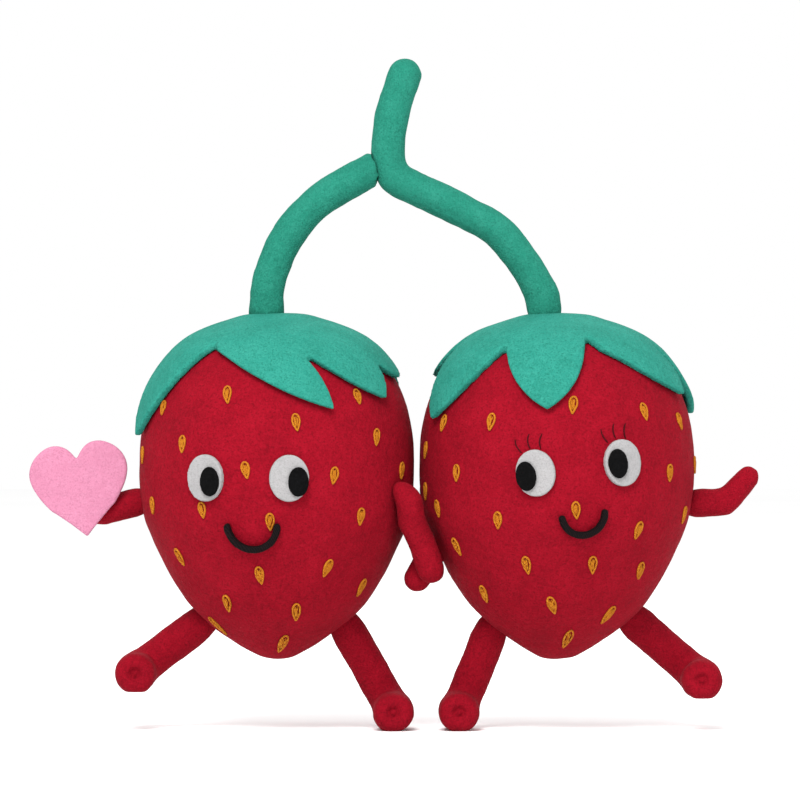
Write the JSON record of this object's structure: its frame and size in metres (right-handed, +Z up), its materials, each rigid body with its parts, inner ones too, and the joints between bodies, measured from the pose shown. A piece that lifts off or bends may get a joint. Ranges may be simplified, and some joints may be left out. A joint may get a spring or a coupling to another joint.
{
  "type": "felt strawberry doll pincushion",
  "caption": "Free-standing pincushion: two stuffed felt strawberries with faces and posable wired limbs, joined by one forked felt stalk.",
  "frame": {"origin": "on the table, under the middle of the outline", "axes": "+Z up, the faces look along -Y, +X is the viewer's right"},
  "size_m": [0.2446, 0.0959, 0.2253],
  "materials": {
    "red_felt": "matted wool felt, fuzzy",
    "limb_felt": "rolled wool felt, fuzzy",
    "green_felt": "pressed wool felt",
    "white_felt": "pressed wool felt",
    "black_felt": "pressed wool felt",
    "pink_felt": "pressed wool felt",
    "seed_thread": "stitched cotton thread",
    "black_yarn": "twisted yarn",
    "black_thread": "thin thread",
    "stuffing": "loose wool fibre",
    "armature_wire": "soft iron wire"
  },
  "bodies": {
    "stalk": {"stalk_main": "green_felt", "stalk_branch": "green_felt", "stalk_main_wire": "armature_wire", "stalk_branch_wire": "armature_wire"},
    "left_berry": {"left_berry_cover": "red_felt", "left_berry_stuffing": "stuffing", "left_calyx": "green_felt", "left_mouth": "black_yarn", "left_seeds": "seed_thread", "left_outer_eye_white": "white_felt", "left_outer_pupil": "black_felt", "left_inner_eye_white": "white_felt", "left_inner_pupil": "black_felt"},
    "left_outer_arm": {"left_outer_arm": "limb_felt", "left_outer_arm_wire": "armature_wire", "heart": "pink_felt"},
    "left_outer_leg": {"left_outer_leg": "limb_felt", "left_outer_leg_wire": "armature_wire"},
    "left_inner_arm": {"left_inner_arm": "limb_felt", "left_inner_arm_wire": "armature_wire"},
    "left_inner_leg": {"left_inner_leg": "limb_felt", "left_inner_leg_wire": "armature_wire"},
    "right_berry": {"right_berry_cover": "red_felt", "right_berry_stuffing": "stuffing", "right_calyx": "green_felt", "right_mouth": "black_yarn", "right_seeds": "seed_thread", "right_outer_eye_white": "white_felt", "right_outer_pupil": "black_felt", "right_outer_lashes": "black_thread", "right_inner_eye_white": "white_felt", "right_inner_pupil": "black_felt", "right_inner_lashes": "black_thread"},
    "right_outer_arm": {"right_outer_arm": "limb_felt", "right_outer_arm_wire": "armature_wire"},
    "right_outer_leg": {"right_outer_leg": "limb_felt", "right_outer_leg_wire": "armature_wire"},
    "right_inner_arm": {"right_inner_arm": "limb_felt", "right_inner_arm_wire": "armature_wire"},
    "right_inner_leg": {"right_inner_leg": "limb_felt", "right_inner_leg_wire": "armature_wire"}
  },
  "joints": [
    {"name": "left_turn", "type": "hinge", "parent": "stalk", "child": "left_berry", "pos_m": [-0.0434, 0, 0.14], "axis": [0, 0, -1], "range_deg": [0, 20]},
    {"name": "right_turn", "type": "hinge", "parent": "stalk", "child": "right_berry", "pos_m": [0.0496, 0, 0.14], "axis": [0, 0, -1], "range_deg": [0, 20]},
    {"name": "left_outer_shoulder", "type": "hinge", "parent": "left_berry", "child": "left_outer_arm", "pos_m": [-0.08835, 0, 0.07605], "axis": [0, 1, 0], "range_deg": [-35, 8]},
    {"name": "left_inner_shoulder", "type": "hinge", "parent": "left_berry", "child": "left_inner_arm", "pos_m": [0.0041, -0.02415, 0.07795], "axis": [-1, 0, 0], "range_deg": [0, 80]},
    {"name": "right_inner_shoulder", "type": "hinge", "parent": "right_berry", "child": "right_inner_arm", "pos_m": [0.01191, -0.00521, 0.05941], "axis": [1, 0, 0], "range_deg": [0, 60]},
    {"name": "right_outer_shoulder", "type": "hinge", "parent": "right_berry", "child": "right_outer_arm", "pos_m": [0.10216, 0, 0.0761], "axis": [0, -1, 0], "range_deg": [-45, 40]},
    {"name": "left_outer_hip", "type": "hinge", "parent": "left_berry", "child": "left_outer_leg", "pos_m": [-0.06729, 0.00368, 0.0346], "axis": [-1, 0, 0], "range_deg": [-15, 60]},
    {"name": "left_inner_hip", "type": "hinge", "parent": "left_berry", "child": "left_inner_leg", "pos_m": [-0.01553, 0.0034, 0.03216], "axis": [-1, 0, 0], "range_deg": [-15, 60]},
    {"name": "right_inner_hip", "type": "hinge", "parent": "right_berry", "child": "right_inner_leg", "pos_m": [0.03103, 0.00332, 0.03095], "axis": [-1, 0, 0], "range_deg": [-15, 60]},
    {"name": "right_outer_hip", "type": "hinge", "parent": "right_berry", "child": "right_outer_leg", "pos_m": [0.0816, 0.0037, 0.035], "axis": [-1, 0, 0], "range_deg": [-15, 60]}
  ]
}
